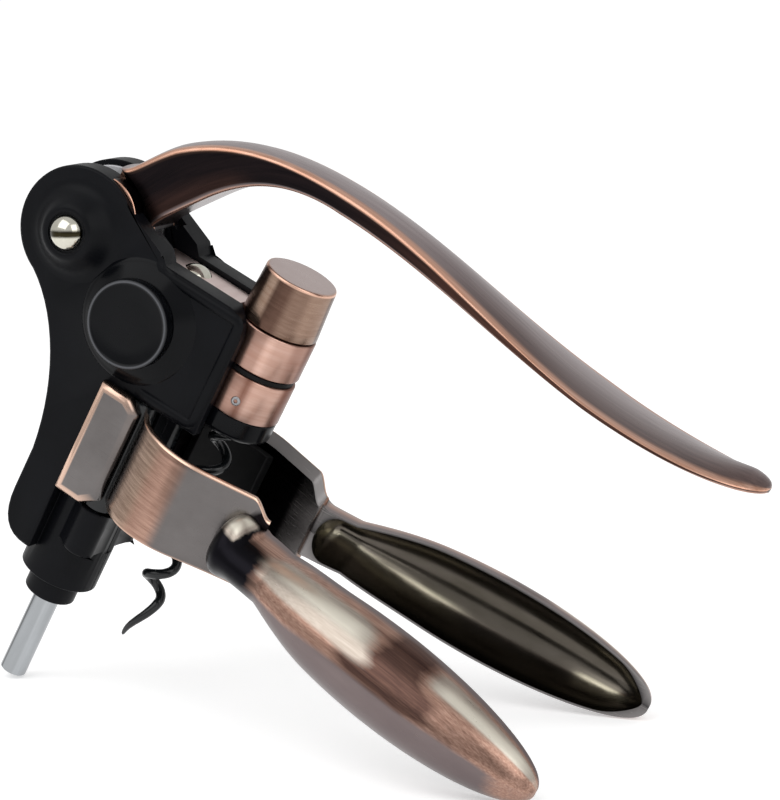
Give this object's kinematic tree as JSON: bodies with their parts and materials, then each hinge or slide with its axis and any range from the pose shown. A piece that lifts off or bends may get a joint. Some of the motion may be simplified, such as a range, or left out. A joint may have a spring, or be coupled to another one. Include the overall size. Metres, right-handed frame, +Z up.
{
  "type": "lever_corkscrew",
  "caption": "Lever corkscrew of the rabbit type with a curved antiqued copper lever, hinged spoon-shaped grips and a geared worm carriage in a black body",
  "frame": {"origin": "middle of the floor under the tool as it stands on its guide rod and both grip tips, at the centre of its bounding box", "axes": "+X towards the tips of the lever and grips, +Y to the right shell, +Z up"},
  "size_m": [0.2066, 0.0962, 0.144],
  "materials": {
    "shell": "satin",
    "lever": "antiqued copper, brushed",
    "grip": "antiqued copper, brushed",
    "barrel": "polished copper plate",
    "cap": "brushed copper plate",
    "polished": "polished",
    "steel": "plain",
    "worm": "black non-stick coating",
    "nut": "gloss",
    "pad": "matt"
  },
  "bodies": {
    "frame": {"left_shell": "shell", "right_shell": "shell", "shell_screws": "steel", "left_knob": "shell", "right_knob": "shell", "lever_pin": "polished", "lever_pin_cap": "polished", "nut_housing": "barrel", "worm_nut": "nut", "nut_screw": "steel", "nut_pin": "steel", "buffer_ring": "pad", "rod_bush": "shell", "left_hinge_pin": "steel", "right_hinge_pin": "steel"},
    "lever": {"lever": "lever", "drive_gear": "steel", "gear_rivets": "steel"},
    "carriage": {"carriage": "barrel", "rack_bar": "steel", "guide_rod": "polished", "rod_nut": "polished", "carriage_pin": "steel", "worm_cap": "cap"},
    "worm": {"worm": "worm", "worm_washer": "steel", "worm_screw": "steel"},
    "left_grip": {"left_grip": "grip", "left_jaw_pad": "pad"},
    "right_grip": {"right_grip": "grip", "right_jaw_pad": "pad"}
  },
  "joints": [
    {"name": "lever_swing", "type": "hinge", "parent": "frame", "child": "lever", "pos_m": [-0.07427, 0, 0.12058], "axis": [0, -1, 0], "range_deg": [0, 165]},
    {"name": "carriage_slide", "type": "slide", "parent": "frame", "child": "carriage", "axis": [0.4384, 0, 0.8988], "range_m": [0, 0.0432]},
    {"name": "worm_spin", "type": "hinge", "parent": "carriage", "child": "worm", "pos_m": [-0.02547, 0, 0.09677], "axis": [0.4384, 0, 0.8988], "range_deg": [0, 1481.04]},
    {"name": "left_grip_swing", "type": "hinge", "parent": "frame", "child": "left_grip", "pos_m": [-0.06227, -0.0105, 0.06466], "axis": [0.4384, 0, 0.8988], "range_deg": [0, 11]},
    {"name": "right_grip_swing", "type": "hinge", "parent": "frame", "child": "right_grip", "pos_m": [-0.06227, 0.0105, 0.06466], "axis": [-0.4384, 0, -0.8988], "range_deg": [0, 11]}
  ],
  "couplings": [
    {"joint": "carriage_slide", "follows": "lever_swing", "m_per_rad": 0.015},
    {"joint": "worm_spin", "follows": "lever_swing", "ratio": 8.976}
  ]
}
